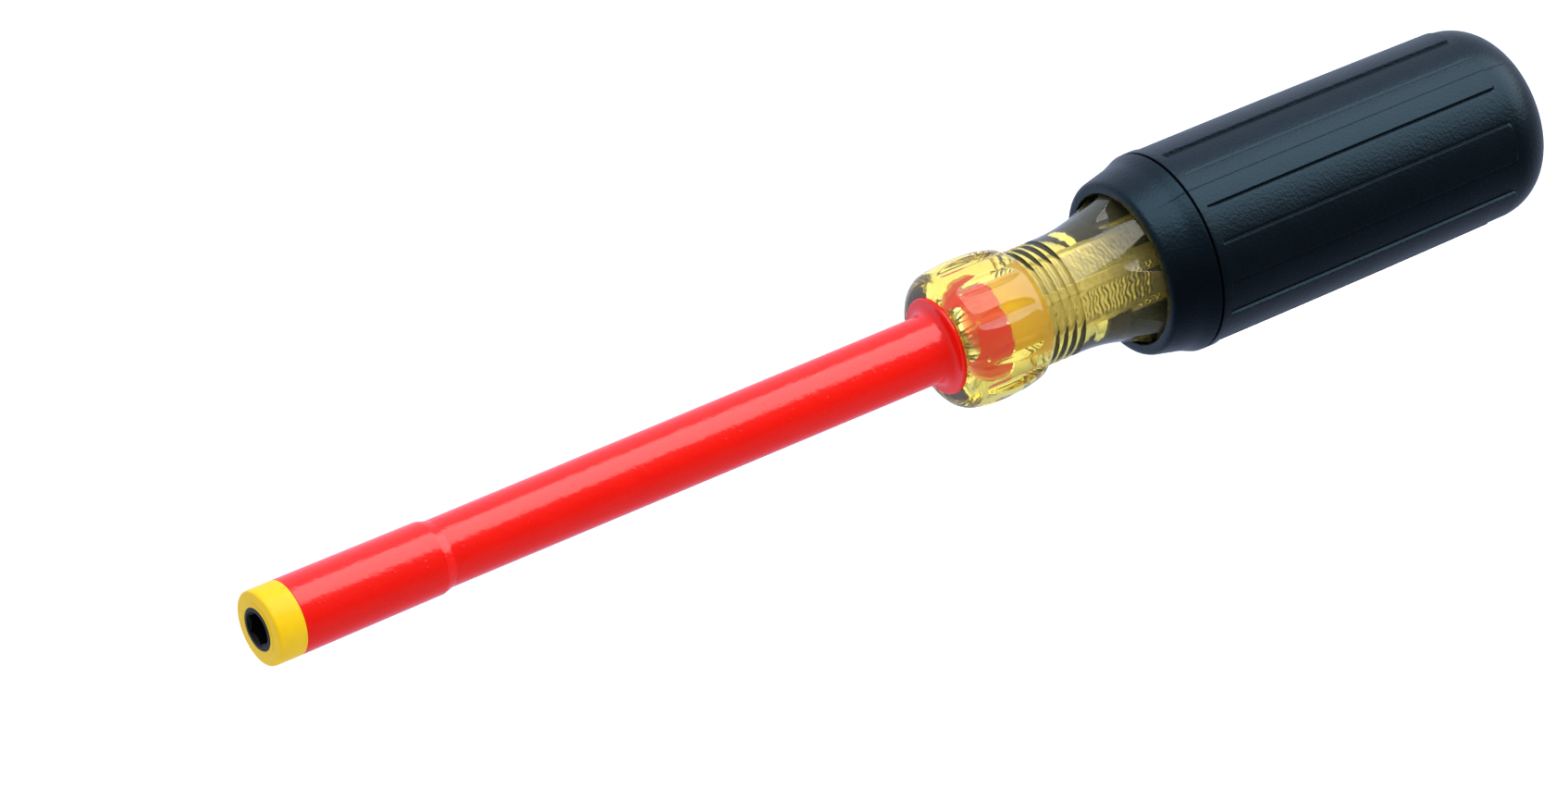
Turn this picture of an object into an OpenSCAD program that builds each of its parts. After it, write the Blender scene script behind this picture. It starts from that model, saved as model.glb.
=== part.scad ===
// Insulated nut driver: a blackened steel socket bar in two layers of insulation,
// a clear fluted handle and a soft grip.
// The tool's axis is +X, the origin is the middle of the socket's mouth and +Z is up.

/* [Socket] */
// Width of the hexagon across its flats
hex_flats = 4.83; // [4:0.01:5.6]
// Depth of the hexagon
hex_depth = 10; // [6:0.5:16]
// Lead-in chamfer at the hexagon's mouth, beyond its corners
lead_in = 0.2; // [0.1:0.05:0.35]
// Diameter of the stud bore behind the hexagon
stud_bore_d = 3.4; // [2.4:0.1:3.9]
// Depth of the stud bore, measured from the mouth
stud_depth = 25; // [18:0.5:60]
// Diameter of the steel at the socket
socket_d = 7.2; // [6.9:0.05:8]
// Length of the thicker socket end
socket_len = 28; // [20:0.5:30]
// Chamfer round the steel's mouth
rim_chamfer = 0.25; // [0.1:0.05:0.4]

/* [Shank] */
// Diameter of the round shank
shank_d = 6.35; // [5.6:0.05:6.8]
// Width of the square tang across its flats
tang_flats = 6.8; // [6.4:0.05:7.6]
// Width of the tang across its coined corners
tang_corners = 8.2; // [7.8:0.05:8.9]
// Length of the tang inside the handle
tang_len = 66; // [40:1:78]
// Chamfer on the tang's end
tang_chamfer = 0.8; // [0.3:0.1:1.5]

/* [Insulation] */
// Length of the tool from its tip to the handle's front face
shaft_len = 127; // [90:1:200]
// Diameter of the nose at the tip
nose_tip_d = 12.4; // [12:0.05:14]
// Diameter of the nose at its shoulder
nose_end_d = 12.05; // [11.7:0.05:13]
// Length of the nose up to its shoulder
nose_len = 31.2; // [30.5:0.1:40]
// Length of the slope from the nose down to the shaft
shoulder_len = 1.7; // [0.8:0.1:4]
// Diameter of the insulated shaft
shaft_d = 11.1; // [10.4:0.05:11.5]
// Length of the collar where the inner layer shows at the tip
collar_len = 5.3; // [3:0.1:9]
// Round on the collar's front edge
collar_edge_r = 0.45; // [0.3:0.05:1.2]
// Width of the bead that the inner layer has round the steel
bead_w = 0.65; // [0.2:0.05:0.9]
// Height of that bead above the collar's face
bead_h = 0.2; // [0.1:0.05:0.4]
// Diameter of the inner layer under the nose
inner_nose_d = 10.2; // [9.7:0.05:10.8]
// Diameter of the inner layer under the shaft
inner_d = 9.2; // [8.8:0.05:9.7]
// Length of the inner layer inside the handle
inner_into = 16.3; // [12.5:0.1:24]
// Length of the outer layer inside the handle
outer_into = 9.3; // [5:0.1:12]
// Diameter of the flange that seats on the handle
flange_d = 16; // [15:0.1:17]
// Thickness of the flange at its rim
flange_t = 0.7; // [0.5:0.1:1.2]
// Fillet from the shaft up to the flange
flange_fillet = 1.5; // [0.6:0.1:1.7]

/* [Handle] */
// Diameter of the bolster at its crown
bolster_d = 23.7; // [22.6:0.1:26]
// Length of the bolster to its back edge
bolster_len = 14.8; // [13:0.1:20]
// Radius of the bolster's crown along the axis
crown_r = 24; // [20:0.5:60]
// Round on the bolster's front edge
bolster_front_r = 3; // [1:0.1:3.2]
// Round on the bolster's back edge
bolster_back_r = 1.5; // [0.8:0.1:2]
// Number of flutes in the bolster
bolster_flutes = 12; // [8:1:14]
// Depth of the bolster's flutes at the crown
bolster_flute_depth = 0.7; // [0.3:0.05:0.9]
// Radius of the bolster's flutes
bolster_flute_r = 2.6; // [2:0.1:4]
// Diameter of the neck
neck_d = 19.3; // [18.6:0.1:20.2]
// Length of the neck from the bolster's back edge to the flare
neck_len = 8.2; // [7.6:0.1:14]
// Number of ring grooves in the neck
ring_count = 4; // [1:1:4]
// Distance from the bolster's back edge to the middle of the first ring groove
ring_gap = 1.1; // [1:0.05:1.5]
// Spacing of the ring grooves
ring_pitch = 1.7; // [1.5:0.05:1.8]
// Width of a ring groove
ring_w = 1.25; // [0.6:0.05:1.3]
// Radius of the flare from the neck to the body
flare_r = 31; // [20:1:38]
// Diameter of the body inside the grip
body_d = 26.4; // [25.4:0.1:27.4]
// Number of flutes in the body
body_flutes = 8; // [6:1:9]
// Depth of the body's flutes
body_flute_depth = 2.3; // [1:0.1:2.5]
// Radius of the body's flutes
body_flute_r = 4.2; // [3.5:0.1:4.4]
// Round on the body's end
body_end_r = 6.5; // [3:0.1:8]

/* [Grip] */
// Length of the grip from its lip to its end
grip_len = 76.3; // [74:0.1:92]
// Length of the flare that stays clear in front of the grip's lip
bare_flare = 12.1; // [11:0.1:13]
// Gap between the flare and the grip's mouth
mouth_gap = 0.6; // [0.4:0.05:0.9]
// Depth of the mouth's pocket round the flare
mouth_depth = 3; // [2:0.1:5]
// Thickness of the grip over the body's ridges, at its front band
grip_wall = 3.45; // [3.2:0.05:4.2]
// Drop in radius from the front band to the lip
lip_drop = 1.95; // [1.8:0.05:2.2]
// Length of the rounded lip
lip_len = 0.9; // [0.6:0.1:1.6]
// Width of the lip's flat front edge
lip_flat = 0.8; // [0.2:0.1:1]
// Swell of the lip's slope
lip_swell = 0.3; // [0.1:0.05:0.35]
// Length of the conical collar from the lip to the ring groove
cone_len = 7; // [6:0.1:8]
// Growth of the collar's diameter before its rim
cone_rise = 2.1; // [1.4:0.1:2.6]
// Length of the hollow rise from the cone to the rim
rim_rise_len = 2.2; // [1:0.1:3]
// Width of the ring groove behind the collar
collar_groove_w = 0.55; // [0.3:0.05:0.8]
// Depth of the ring groove behind the collar
collar_groove_depth = 0.6; // [0.3:0.05:0.9]
// Length of the plain band before the panels
band_len = 1.7; // [1:0.1:4]
// Amount that the grip's diameter loses from the band to the panels' ends
grip_taper = 0.95; // [0:0.05:1.6]
// Number of raised panels
panels = 8; // [6:1:10]
// Share of the pitch that a raised panel takes
panel_share = 0.5; // [0.35:0.05:0.65]
// Height of the raised panels
panel_h = 0.42; // [0.2:0.02:0.7]
// Length of the plain grip between the panels' ends and the round butt
panel_gap = 0.9; // [0.5:0.1:6]
// Round on the grip's butt
butt_r = 8.4; // [7:0.1:10.5]
// Thickness of the grip behind the handle's end
butt_wall = 4; // [3:0.1:6]

/* [Turn round the axis] */
// Turn of a hexagon corner from the top
hex_turn = 50; // [0:1:60]
// Turn of a tang corner from the top
tang_turn = 48; // [0:1:90]
// Turn of a bolster ridge from the top
ridge_turn = 0; // [0:1:30]
// Turn of a raised panel's middle from the top
panel_turn = 22.5; // [0:0.5:45]

/* [Fits] */
// Gap left at every bonded face
bond_gap = 0.03; // [0.01:0.01:0.06]

/* [Hidden] */
$fn = 96;
// Lead of a cutter past the face that it opens
past = 1;
// Straight steps in a quarter of a turned round
arc_steps = 8;
// Turn from a shape's own +X to the top
to_top = 90;
// Angle between a square's flat and its corner
square_corner = 45;
// Half of a drill point's angle
drill_half_angle = 59;
// Slope at which the bolster's back round meets the hollow into the neck
join_turn = 45;
hex_sides = 6;
hex_corner_r = hex_flats / 2 / cos(180 / hex_sides);
drill_point = stud_bore_d / 2 / tan(drill_half_angle);
socket_slope = socket_d - shank_d;
tang_start = shaft_len + inner_into + bond_gap;
tang_end = tang_start + tang_len;
shoulder_end = nose_len + shoulder_len;
bore_nose_end = socket_len + socket_slope;
bore_slope_end = bore_nose_end + bond_gap;
// Middle of the crown's circle, and of the rounds that touch it at the front and the back
crown_mid = shaft_len + bolster_len / 2;
crown_axis = bolster_d / 2 - crown_r;
front_mid = [touching_r(bolster_front_r, shaft_len + bolster_front_r), shaft_len + bolster_front_r];
back_z = shaft_len + bolster_len - bolster_back_r;
back_mid = [touching_r(bolster_back_r, back_z), back_z];
// The hollow that runs from the back round into the neck
back_join = back_mid + bolster_back_r * [cos(join_turn), sin(join_turn)];
foot_r = (back_join.x - neck_d / 2) / (1 - cos(join_turn));
foot_z = back_join.y + foot_r * sin(join_turn);
ring_z = shaft_len + bolster_len + ring_gap;
flare_z = shaft_len + bolster_len + neck_len;
flare_turn = acos((neck_d / 2 + flare_r - body_d / 2) / flare_r);
grip_z = flare_z + bare_flare;
// Radius of the handle where the grip's mouth opens round it
flare_mouth_r = min(body_d / 2, neck_d / 2 + flare_r - sqrt(pow(flare_r, 2) - pow(bare_flare, 2)));
mouth_d = 2 * (flare_mouth_r + mouth_gap);
band_d = body_d + 2 * grip_wall;
lip_d = band_d - 2 * lip_drop;
total_len = grip_z + grip_len;
body_end_z = total_len - butt_wall;
groove_z = grip_z + lip_len + cone_len;
panel_z = groove_z + collar_groove_w + band_len;
butt_z = total_len - butt_r;
panel_end = butt_z - panel_gap;
panel_pitch = 360 / panels;

// Radius at which a round of radius r touches the crown's circle from inside, for a middle at z
function touching_r(r, z) = crown_axis + sqrt(pow(crown_r - r, 2) - pow(z - crown_mid, 2));
// Angle of a point on the crown's circle
function crown_angle(mid) = atan2(mid.y - crown_mid, mid.x - crown_axis);
// Points of an arc, as [radius, place along the axis]
function arc(mid, r, from, to, steps = arc_steps) =
    [for (i = [0:steps]) mid + r * [cos(from + (to - from) * i / steps), sin(from + (to - from) * i / steps)]];
// The same outline of straight lengths, moved out from the axis
function grown(points, by) = [for (p = points) [p.x + by, p.y]];

// Lays a shape along +X, with its own +Y up
module laid() {
    rotate([90, 0, 90]) children();
}

// A solid of revolution from its outline and the axis
module turned(outline) {
    first = outline[0];
    last = outline[len(outline) - 1];
    rotate_extrude() polygon(concat([[0, first.y]], outline, [[0, last.y]]));
}

// A ring of evenly turned copies, the first one at the top
module ring_of(count) {
    for (i = [0:count - 1]) rotate(360 * i / count) children();
}

// Square tang with coined corners, grown by a gap
module tang(gap = 0) {
    translate([0, 0, tang_start - gap]) linear_extrude(tang_len + 2 * gap)
        rotate(tang_turn + square_corner) intersection() {
            square(tang_flats + 2 * gap, center = true);
            rotate(square_corner) square(tang_corners + 2 * gap, center = true);
        }
}

// Cone that breaks the edges of the tang's end
module tang_end_cone() {
    turned([
        [tang_corners, tang_start - past],
        [tang_corners, tang_end - tang_corners / 2 - tang_chamfer],
        [tang_corners / 2 - tang_chamfer, tang_end],
    ]);
}

// Round steel from the mouth to the tang
module round_steel() {
    turned([
        [socket_d / 2 - rim_chamfer, 0],
        [socket_d / 2, rim_chamfer],
        [socket_d / 2, socket_len],
        [shank_d / 2, bore_nose_end],
        [shank_d / 2, tang_start + past],
    ]);
}

// Hexagon with its lead-in, and the stud bore with its drill point
module socket_cut() {
    lead_r = hex_corner_r + lead_in;
    translate([0, 0, -past]) rotate(to_top + hex_turn)
        cylinder(r = hex_corner_r, h = hex_depth + past, $fn = hex_sides);
    turned([[lead_r + past, -past], [hex_flats / 2, lead_r - hex_flats / 2]]);
    cylinder(d = stud_bore_d, h = stud_depth);
    translate([0, 0, stud_depth]) cylinder(d1 = stud_bore_d, d2 = 0, h = drill_point);
}

module steel_shaft() {
    color([0.16, 0.16, 0.17]) laid() difference() {
        union() {
            round_steel();
            intersection() {
                tang();
                tang_end_cone();
            }
        }
        socket_cut();
    }
}

// Space that the steel takes in the inner layer
module steel_space() {
    turned([
        [socket_d / 2 + bond_gap, -past],
        [socket_d / 2 + bond_gap, socket_len + bond_gap],
        [shank_d / 2 + bond_gap, bore_slope_end],
        [shank_d / 2 + bond_gap, tang_start + past],
    ]);
}

// Outline of the inner layer where the outer one lies over it
function covered_inner() = [
    [inner_nose_d / 2, collar_len],
    [inner_nose_d / 2, nose_len],
    [inner_d / 2, shoulder_end],
    [inner_d / 2, shaft_len + inner_into],
];

module inner_insulation() {
    collar_r = nose_tip_d / 2;
    bead_r = socket_d / 2 + bond_gap + bead_w;
    edge = arc([collar_r - collar_edge_r, bead_h + collar_edge_r], collar_edge_r, -90, 0);
    color([0.95, 0.76, 0.12]) laid() difference() {
        turned(concat([[bead_r, 0], [bead_r, bead_h]], edge, [[collar_r, collar_len]], covered_inner()));
        steel_space();
    }
}

// Outline of the flange's front, from the shaft out to its rim
function flange_front() =
    let (face_z = shaft_len - flange_t, rim_r = flange_t / 2)
    concat(
        arc([shaft_d / 2 + flange_fillet, face_z - flange_fillet], flange_fillet, 180, 90),
        arc([flange_d / 2 - rim_r, face_z + rim_r], rim_r, -90, 0)
    );

module outer_insulation() {
    seat_z = shaft_len - bond_gap;
    color([0.9, 0.13, 0.07]) laid() difference() {
        turned(concat(
            [[nose_tip_d / 2, collar_len + bond_gap], [nose_end_d / 2, nose_len], [shaft_d / 2, shoulder_end]],
            flange_front(),
            [[flange_d / 2, seat_z], [shaft_d / 2, seat_z], [shaft_d / 2, shaft_len + outer_into]]
        ));
        turned(concat([[inner_nose_d / 2 + bond_gap, collar_len - past]], grown(covered_inner(), bond_gap)));
    }
}

// Outline of the handle from its front face to its end, grown by a gap
function handle_outline(gap) =
    let (
        front_turn = crown_angle(front_mid),
        back_turn = crown_angle(back_mid),
        flare_mid = [neck_d / 2 + flare_r, flare_z],
        end_mid = [body_d / 2 - body_end_r, body_end_z - body_end_r]
    )
    concat(
        arc(front_mid, bolster_front_r + gap, -90, front_turn),
        arc([crown_axis, crown_mid], crown_r + gap, front_turn, back_turn),
        arc(back_mid, bolster_back_r + gap, back_turn, join_turn),
        arc([neck_d / 2 + foot_r, foot_z], foot_r - gap, 180 + join_turn, 180),
        arc(flare_mid, flare_r - gap, 180, 180 - flare_turn),
        arc(end_mid, body_end_r + gap, 0, 90)
    );

// Outside of the handle, grown by a gap to make the space for it
module handle_form(gap = 0) {
    body_floor = body_d / 2 - body_flute_depth;
    difference() {
        turned(handle_outline(gap));
        rotate(panel_turn + panel_pitch / 2) ring_of(body_flutes)
            translate([0, body_floor + body_flute_r, flare_z])
                cylinder(r = body_flute_r - gap, h = total_len - flare_z);
    }
}

// Flutes round the bolster, which run out by themselves where the crown falls away
module bolster_flute_cuts() {
    floor_r = bolster_d / 2 - bolster_flute_depth;
    rotate(ridge_turn + 180 / bolster_flutes) ring_of(bolster_flutes)
        translate([0, floor_r + bolster_flute_r, shaft_len - past])
            cylinder(r = bolster_flute_r, h = bolster_len + past);
}

// Ring grooves in the neck, round at the bottom and open to the outside
module ring_groove_cuts() {
    for (i = [0:ring_count - 1]) rotate_extrude()
        translate([neck_d / 2, ring_z + i * ring_pitch]) {
            circle(d = ring_w);
            translate([0, -ring_w / 2]) square([past, ring_w]);
        }
}

// Space that the insulated shaft and the tang take in the handle
module core_space() {
    turned([
        [shaft_d / 2 + bond_gap, shaft_len - past],
        [shaft_d / 2 + bond_gap, shaft_len + outer_into + bond_gap],
        [inner_d / 2 + bond_gap, shaft_len + outer_into + bond_gap],
        [inner_d / 2 + bond_gap, tang_start],
    ]);
    tang(bond_gap);
}

module handle() {
    color([0.93, 0.78, 0.25, 0.55]) laid() difference() {
        handle_form();
        bolster_flute_cuts();
        ring_groove_cuts();
        core_space();
    }
}

// Radius of the grip at the tops of its panels
function panel_r(z) =
    (band_d - grip_taper * pow((z - groove_z) / (butt_z - groove_z), 2)) / 2;

// Outline of the grip along a raised panel or, lower by a drop, along a hollow between two of them
function panel_line(drop, end, steps = 6) =
    [for (i = [0:steps]) let (z = panel_z + (end - panel_z) * i / steps) [panel_r(z) - drop, z]];

// Outline of the lip, a slope that swells out
function lip_line(steps = 6) =
    let (
        from = [mouth_d / 2 + lip_flat, grip_z],
        slope = [lip_d / 2, grip_z + lip_len] - from,
        out = lip_swell * [slope.y, -slope.x] / norm(slope)
    )
    [for (i = [0:steps]) from + slope * i / steps + out * sin(180 * i / steps)];

// Outline of the grip from its lip to its end
function grip_outline() =
    let (
        rise_z = groove_z - rim_rise_len,
        cone_end_r = (lip_d + cone_rise) / 2,
        rim_r = band_d / 2,
        floor_r = rim_r - collar_groove_depth,
        groove_end = groove_z + collar_groove_w,
        butt_base_r = panel_r(butt_z) - panel_h
    )
    concat(
        lip_line(),
        [[cone_end_r, rise_z], [rim_r, groove_z]],
        [[floor_r, groove_z], [floor_r, groove_end], [rim_r, groove_end]],
        panel_line(0, panel_end - panel_h),
        [[panel_r(panel_end) - panel_h, panel_end]],
        arc([butt_base_r - butt_r, butt_z], butt_r, 0, 90)
    );

// Hollows between the raised panels
module panel_hollow_cuts() {
    hollow = panel_pitch * (1 - panel_share);
    floor_line = panel_line(panel_h, panel_end);
    outside = [[band_d, panel_end + past], [band_d, panel_z]];
    rotate(to_top + panel_turn + panel_pitch / 2 - hollow / 2) ring_of(panels)
        rotate_extrude(angle = hollow) polygon(concat(floor_line, outside));
}

module cushion_grip() {
    color([0.1, 0.11, 0.13]) laid() difference() {
        turned(grip_outline());
        panel_hollow_cuts();
        handle_form(bond_gap);
        translate([0, 0, grip_z - past]) cylinder(d = mouth_d, h = past + mouth_depth);
    }
}

steel_shaft();
inner_insulation();
outer_insulation();
handle();
cushion_grip();
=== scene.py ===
"""Insulated nut driver: the looks of its five pieces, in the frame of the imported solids.

The tool lies along +X with the socket's mouth at the origin. A turn about the axis is counted in
degrees from the top, +Z, towards the camera's side, -Y. Sizes are in millimetres and become metres
where a mesh is made.
"""
import math

import bmesh
import bpy
import numpy as np
from mathutils import Matrix, Vector


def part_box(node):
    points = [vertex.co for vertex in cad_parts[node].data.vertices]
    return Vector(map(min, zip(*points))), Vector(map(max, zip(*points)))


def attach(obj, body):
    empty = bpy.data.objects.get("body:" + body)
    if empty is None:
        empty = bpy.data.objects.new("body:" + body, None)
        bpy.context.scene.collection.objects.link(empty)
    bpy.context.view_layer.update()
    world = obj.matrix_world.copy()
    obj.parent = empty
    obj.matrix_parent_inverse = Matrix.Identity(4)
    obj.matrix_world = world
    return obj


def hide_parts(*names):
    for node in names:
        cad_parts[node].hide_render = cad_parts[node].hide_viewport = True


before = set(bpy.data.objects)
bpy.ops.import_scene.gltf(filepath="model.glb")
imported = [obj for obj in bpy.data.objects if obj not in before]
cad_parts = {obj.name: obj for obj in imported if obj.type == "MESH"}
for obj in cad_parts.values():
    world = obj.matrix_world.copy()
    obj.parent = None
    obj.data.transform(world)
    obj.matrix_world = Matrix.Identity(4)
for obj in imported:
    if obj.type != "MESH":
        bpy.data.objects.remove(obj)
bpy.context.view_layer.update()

MM = 0.001

# View of the photograph: the camera's turn and height in degrees, its focal length on the sensor,
# where the socket's mouth lies from it, to the right, down and ahead, and how far it sees
VIEW_TURN = -34.6
VIEW_HEIGHT = 37.22
SENSOR_W = 36.0
LENS = 303.52
MOUTH_FROM_CAMERA = (-80.36, 34.98, 2015.66)
CAMERA_REACH = 100000.0


def aim_camera():
    """Sets the camera where the photograph was taken from."""
    turn = math.radians(VIEW_TURN)
    height = math.radians(VIEW_HEIGHT)
    level = math.cos(height)
    right = Vector((math.cos(turn), math.sin(turn), 0))
    ahead = Vector((-math.sin(turn) * level, math.cos(turn) * level, -math.sin(height)))
    down = ahead.cross(right)
    to_right, to_below, to_front = MOUTH_FROM_CAMERA
    offset = right * to_right + down * to_below + ahead * to_front
    lens = bpy.data.cameras.new("photo_view")
    lens.sensor_width = SENSOR_W
    lens.lens = LENS
    lens.clip_end = CAMERA_REACH * MM
    camera = bpy.data.objects.new("photo_view", lens)
    place = Matrix((right, -down, -ahead)).transposed().to_4x4()
    place.translation = -offset * MM
    camera.matrix_world = place
    bpy.context.scene.collection.objects.link(camera)
    bpy.context.scene.camera = camera


aim_camera()


def span(node):
    """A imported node's lowest and highest corners."""
    return [np.array(corner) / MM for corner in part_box(node)]


STEEL_HIGH = span("steel_shaft")[1]
INNER_HIGH = span("inner_insulation")[1]
OUTER_LOW, OUTER_HIGH = span("outer_insulation")
HANDLE_LOW, HANDLE_HIGH = span("handle")
GRIP_LOW, GRIP_HIGH = span("cushion_grip")

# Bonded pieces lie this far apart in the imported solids
PACKED_GAP = 0.03
# Here they sink this far into each other instead, so that no film of air shows between them
BOND_SINK = 0.05

# Steel bar
HEX_SIDES = 6
HEX_FLATS = 4.83
HEX_DEPTH = 10.0
HEX_TURN = 50
LEAD_IN = 0.2
STUD_BORE_R = 1.7
STUD_DEPTH = 25.0
SOCKET_R = 3.6
SOCKET_LEN = 28.0
RIM_CHAMFER = 0.08
SHANK_R = 3.175
# Length of the taper behind the socket for each millimetre that it narrows
TAPER_SLOPE = 2
TAPER_END = SOCKET_LEN + TAPER_SLOPE * (SOCKET_R - SHANK_R)
TANG_SIDES = 4
TANG_FLATS = 6.8
TANG_CORNERS = 8.2
TANG_CORNER_ROUND = 0.08
TANG_TURN = 48
TANG_CHAMFER = 0.8
TANG_START = INNER_HIGH[0] + PACKED_GAP
TANG_END = STEEL_HIGH[0]
# Length of the tang that can be seen through the clear handle, and the step between its rings there
TANG_SHOWN = 22.0
TANG_STEP = 0.12
# Hammered sides of the tang: the marks' depth, the pitches of ridges, chips and dents along the bar,
# and the ridges' share against the chips
HAMMER_DEPTH = 0.3
RIDGE_PITCH = 1.5
CHIP_PITCH = 0.8
DENT_PITCH = 3.6
RIDGE_SHARE = 0.65
# Every second side is struck softly, with these shares of sharp marks and of dents
SOFT_SHARP = 0.3
SOFT_DENTS = 0.15
# Turn from a coined corner at which the marks set in, and the fade on both sides of it
MARKS_TURN = 13
MARKS_FADE = 3

# Insulation
NOSE_R = INNER_HIGH[2]
NOSE_END_R = 6.025
NOSE_LEN = 31.2
NOSE_END_EASE = 0.12
SHOULDER_END = 32.9
SHOULDER_EASE = 0.25
SHAFT_R = 5.55
INNER_NOSE_R = 5.1
INNER_R = 4.6
COLLAR_LEN = 5.3
COLLAR_EDGE = 0.6
# Bead of the collar round the steel: its width and height, the slope at its inside, the width and
# fall of its top's outer part, its foot, and the easing of its top and of its other corners
BEAD_W = 0.65
BEAD_H = 0.2
BEAD_SLOPE = 0.1
BEAD_TOP_W = 0.2
BEAD_TOP_FALL = 0.05
BEAD_FOOT = 0.12
BEAD_TOP_EASE = 0.12
BEAD_EASE = 0.1
# Broken edges where the two colours meet, and at the sleeves' ends inside the handle
SEAM_BREAK = 0.06
SEAM_EASE = 0.04
INNER_BREAK = 0.3
INNER_EASE = 0.2
OUTER_BREAK = 0.35
OUTER_EASE = 0.25
FLANGE_R = OUTER_HIGH[2]
FLANGE_T = 0.7
FLANGE_FILLET = 1.7
FLANGE_BACK_EASE = 0.05

# Handle
FRONT_X = HANDLE_LOW[0]
BOLSTER_R = 11.85
BOLSTER_LEN = 14.8
CROWN_R = 24.0
FRONT_ROUND = 3.0
BACK_ROUND = 1.5
# Lean of the line where the bolster's back round meets the fillet at the neck
BACK_LEAN = 45
BOLSTER_FLUTES = 12
BOLSTER_FLUTE_DEPTH = 0.7
BOLSTER_FLUTE_R = 2.6
RIDGE_TURN = 0
NECK_R = 9.65
NECK_LEN = 8.2
RINGS = 4
RING_GAP = 1.1
RING_PITCH = 1.7
RING_W = 1.25
FLARE_R = 31.0
BODY_R = HANDLE_HIGH[2]
BODY_FLUTES = 8
BODY_FLUTE_DEPTH = 2.3
BODY_FLUTE_R = 4.2
BODY_END_ROUND = 6.5
BODY_END = HANDLE_HIGH[0]
RING_X = FRONT_X + BOLSTER_LEN + RING_GAP
FLARE_X = FRONT_X + BOLSTER_LEN + NECK_LEN
# Longest step along the ringed neck, and along the body inside the grip
NECK_STEP = 0.09
BODY_STEP = 6
# Width over which a flute's edge or a ring's edge is polished round
EDGE_POLISH = 0.1
# Film of air round the shaft where the moulding shrank from it, at the bore's mouth, and its length
FILM = 0.04
FILM_LEN = 4.5

# Grip
LIP_X = GRIP_LOW[0]
GRIP_END = GRIP_HIGH[0]
BAND_R = GRIP_HIGH[2]
MOUTH_R = 12.71
MOUTH_DEPTH = 3.0
# The mouth's edge opens by this much, from one place behind the lip's front to another
MOUTH_FLARE = 0.1
MOUTH_FLARE_START = 0.15
MOUTH_FLARE_END = 0.03
LIP_LEN = 0.9
LIP_FLAT = 0.8
LIP_R = 14.7
LIP_SWELL = 0.3
CONE_LEN = 7.0
CONE_END_R = 15.75
CONE_EASE = 0.8
RIM_RISE_LEN = 2.2
GROOVE_W = 0.55
GROOVE_DEPTH = 0.6
# Lean of the ring groove's walls, and the easing of its edges and of its floor's corners
GROOVE_LEAN = 0.06
GROOVE_EDGE_EASE = 0.12
GROOVE_FLOOR_EASE = 0.1
BAND_LEN = 1.7
GRIP_TAPER = 0.475
PANELS = 8
PANEL_TURN = 22.5
PANEL_SHARE = 0.5
PANEL_H = 0.42
PANEL_GAP = 0.9
BUTT_ROUND = 8.4
# Half the width of a panel's soft edge, and the round on its corners
PANEL_EDGE = 0.17
PANEL_CORNER = 0.8
# A fine crease runs along the foot of each panel's long edges: its depth, its half width and the length
# over which it fades out at their ends
CREASE_DEPTH = 0.12
CREASE_W = 0.2
CREASE_FADE = 1.0
# Parting line of the two mould halves: its turn, height and half width, and its distance from the ends
PARTING_TURN = 21.5
PARTING_H = 0.05
PARTING_W = 0.16
PARTING_CLEAR = 1.0
GROOVE_X = LIP_X + LIP_LEN + CONE_LEN
PANEL_X = GROOVE_X + GROOVE_W + BAND_LEN
BUTT_X = GRIP_END - BUTT_ROUND
PANEL_END = BUTT_X - PANEL_GAP
HOLLOW_TURN = PANEL_TURN + 180 / PANELS
# Steps between the grip's rings across the panels' front edges, along their sides and round their ends
FRONT_EDGE_STEP = 0.06
PANEL_STEP = 1.6
END_EDGE_STEP = 0.08

# Points round each piece, and the least turn between two columns of the grip
BAR_COLUMNS = 720
SLEEVE_COLUMNS = 240
HANDLE_COLUMNS = 720
GRIP_COLUMNS = 180
LEAST_TURN = 0.08
# Least radius of a ring that closes on the axis
LEAST_R = 0.01
# Points closer than this, in metres, are one point
SAME_POINT = 1e-8
# Edges bent by more than this many degrees are shaded sharp
SHARP_EDGE = 35

# Floor, lights and room: the floor's distance below the tool and its half width, and the lights' places,
# sizes and watts
FLOOR_DROP = 120.0
FLOOR_HALF = 4000.0
SOFT_BOX_PLACE = (385, -46, 478)
SOFT_BOX_SIZE = (540, 1200)
SOFT_BOX_WATTS = 6.1
FILL_PLACE = (-420, -800, 330)
FILL_SIZE = (3200, 3200)
FILL_WATTS = 11.8
# The room's strength on the camera's side and behind the tool
ROOM_FRONT = 0.05
ROOM_BACK = 1.2


def eased(corners, steps=6):
    """A line through (x, r, ease) corners, with each corner rounded over its ease on both sides."""
    places = [np.array(corner[:2], float) for corner in corners]
    line = [places[0]]
    for before, here, after, corner in zip(places, places[1:], places[2:], corners[1:]):
        ease = corner[2]
        if ease == 0:
            line.append(here)
            continue
        start = here + ease * (before - here) / np.linalg.norm(before - here)
        end = here + ease * (after - here) / np.linalg.norm(after - here)
        for t in np.linspace(0, 1, steps):
            line.append((1 - t) ** 2 * start + 2 * t * (1 - t) * here + t ** 2 * end)
    line.append(places[-1])
    return np.array(line)


def arc(mid, radius, start, end, steps):
    """Points (x, r) of an arc about mid, between two angles counted from +x towards +r."""
    angles = np.radians(np.linspace(start, end, steps))
    return np.stack([mid[0] + radius * np.cos(angles), mid[1] + radius * np.sin(angles)], axis=1)


def divided(line, longest):
    """The same line with points added, so that no stretch is longer than this."""
    points = [line[0]]
    for a, b in zip(line, line[1:]):
        count = max(1, math.ceil(np.linalg.norm(b - a) / longest))
        points += [a + (b - a) * i / count for i in range(1, count + 1)]
    return np.array(points)


def softly_least(a, b, width):
    """The lesser of two radii, with a rounded edge where they cross."""
    share = np.clip(0.5 + 0.5 * (b - a) / width, 0, 1)
    return b + (a - b) * share - width * share * (1 - share)


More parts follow.
